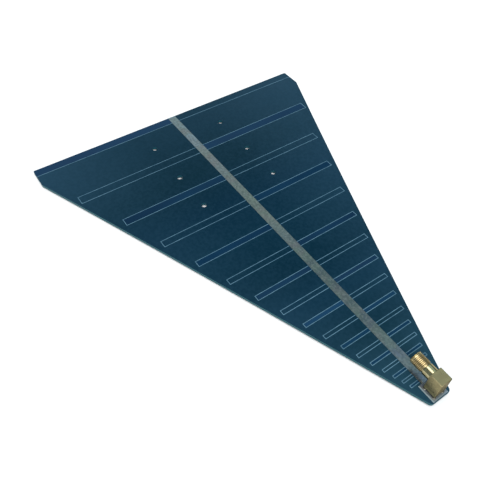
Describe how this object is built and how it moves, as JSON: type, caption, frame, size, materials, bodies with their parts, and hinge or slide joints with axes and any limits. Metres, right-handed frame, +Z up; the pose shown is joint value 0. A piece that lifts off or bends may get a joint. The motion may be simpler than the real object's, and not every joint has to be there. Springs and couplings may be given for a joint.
{
  "type": "log-periodic directional antenna",
  "caption": "Flat tapering circuit-board antenna with arms that alternate along a central boom and a threaded right-angle coaxial jack at the narrow tip.",
  "frame": {"origin": "centre of the bounding box in X and Y, level with the ends of the connector's legs, which are the lowest points", "axes": "+X along the boom from the narrow tip to the wide rear edge, +Y towards the board edge nearest the camera in the picture, +Z up out of the face that carries the connector"},
  "size_m": [0.2284, 0.1814, 0.0143],
  "materials": {
    "board": "satin blue mask over glass fibre",
    "tinned_copper": "dull tinned copper",
    "cast_brass": "matt plated",
    "gold_plate": "bright gold plate",
    "white_plastic": "smooth",
    "solder": "bright solder"
  },
  "bodies": {
    "root": {"laminate": "board", "front_copper": "tinned_copper", "rear_copper": "tinned_copper", "ground_land_1": "tinned_copper", "ground_land_2": "tinned_copper", "ground_land_3": "tinned_copper", "ground_land_4": "tinned_copper", "connector_block": "cast_brass", "access_cap": "cast_brass", "barrel": "gold_plate", "centre_contact": "gold_plate", "feed_pin": "gold_plate", "barrel_insulator": "white_plastic", "pin_insulator": "white_plastic", "ground_solder_1": "solder", "ground_solder_2": "solder", "ground_solder_3": "solder", "ground_solder_4": "solder", "feed_solder": "solder"}
  },
  "joints": []
}
